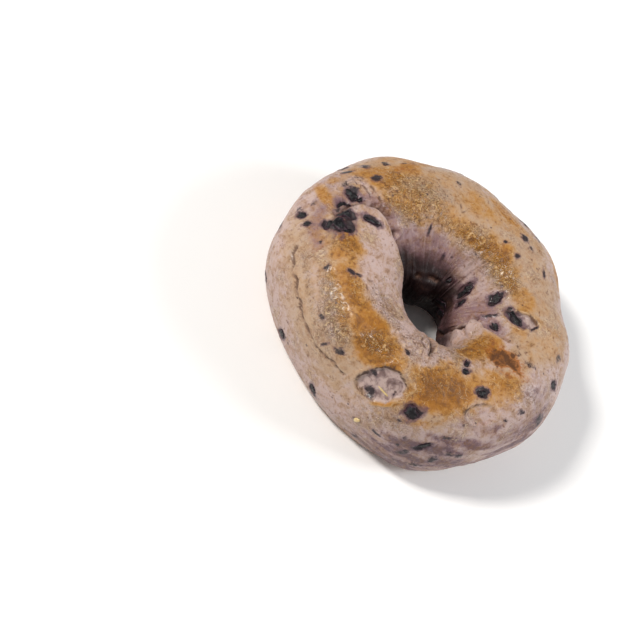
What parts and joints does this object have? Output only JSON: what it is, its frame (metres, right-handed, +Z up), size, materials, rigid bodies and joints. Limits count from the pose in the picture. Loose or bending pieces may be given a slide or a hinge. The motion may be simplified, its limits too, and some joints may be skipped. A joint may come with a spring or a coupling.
{
  "type": "berry bagel",
  "caption": "Boiled and baked ring of berry dough with a browned, blistered crust, a hole through the middle and a pressed flat base.",
  "frame": {"origin": "middle of the bagel's box in plan, on the flat base that it rests on", "axes": "+Z up through the hole, out of the crusted top; +X along the longer way across, away from the tucked end of the rope"},
  "size_m": [0.1046, 0.097, 0.0393],
  "materials": {
    "crust": "semi-gloss boiled and baked crust, tan with golden brown patches and mauve juice stains",
    "berry": "dull near-black baked berry",
    "grain": "satin yellow corn grain"
  },
  "bodies": {
    "root": {"bagel": "crust"}
  },
  "joints": []
}
